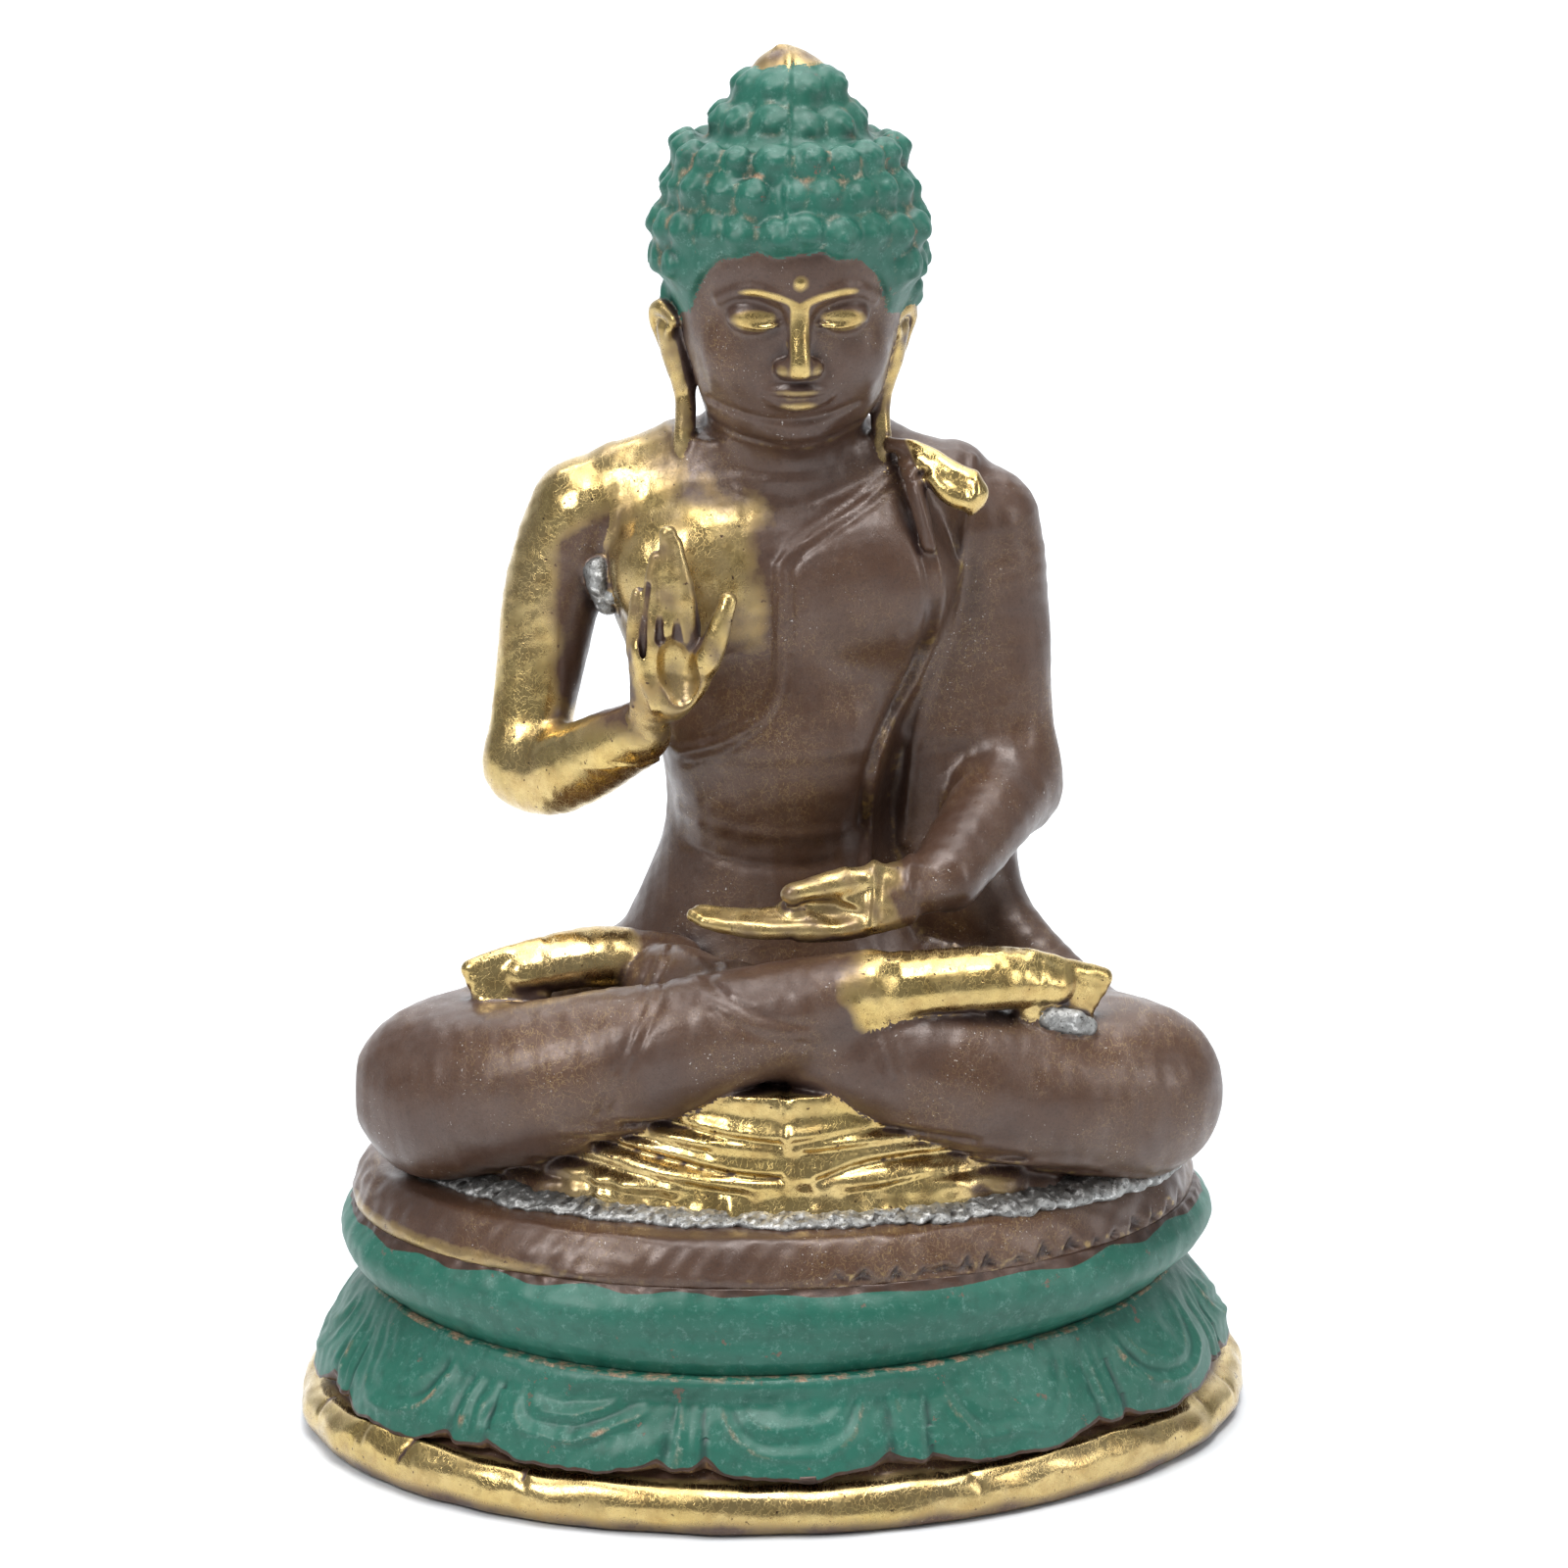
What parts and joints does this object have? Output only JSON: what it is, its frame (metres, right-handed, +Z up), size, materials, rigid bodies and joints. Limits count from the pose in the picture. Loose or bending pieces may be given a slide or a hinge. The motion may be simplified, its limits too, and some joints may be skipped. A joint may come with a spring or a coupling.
{
  "type": "seated Buddha statue",
  "caption": "Small cast brass Buddha, cross-legged on a lotus throne, one palm raised and one in the lap, for a shelf or altar.",
  "frame": {"origin": "on the surface it stands on, under the middle of the foot rim", "axes": "+Z up; the statue faces -Y; its own right hand, the raised one, is on -X; +Y is its back and the shorter way across"},
  "size_m": [0.1202, 0.104, 0.171],
  "materials": {
    "brown_patina": "dark brown patina, satin, rubbed to metal on the crests",
    "polished_brass": "hand polished, scratched, with brown left in the hollows",
    "green_paint": "brushed green paint, semi-matte, chipped and scuffed",
    "tin_solder": "rough grey tin solder, unpainted"
  },
  "bodies": {
    "root": {"foot_rim": "polished_brass", "lower_lotus": "green_paint", "upper_lotus": "green_paint", "seat_deck": "brown_patina", "torso": "brown_patina", "right_leg": "brown_patina", "left_leg": "brown_patina", "seat_hem": "polished_brass", "right_foot": "polished_brass", "left_foot": "polished_brass", "right_arm": "polished_brass", "right_hand": "polished_brass", "left_arm": "brown_patina", "left_hand": "polished_brass", "sleeve_drape": "brown_patina", "shoulder_sash": "polished_brass", "head": "brown_patina", "hair": "green_paint", "topknot_finial": "polished_brass", "right_ear": "polished_brass", "left_ear": "polished_brass", "seat_solder": "tin_solder", "armpit_solder": "tin_solder", "toe_solder": "tin_solder"}
  },
  "joints": []
}
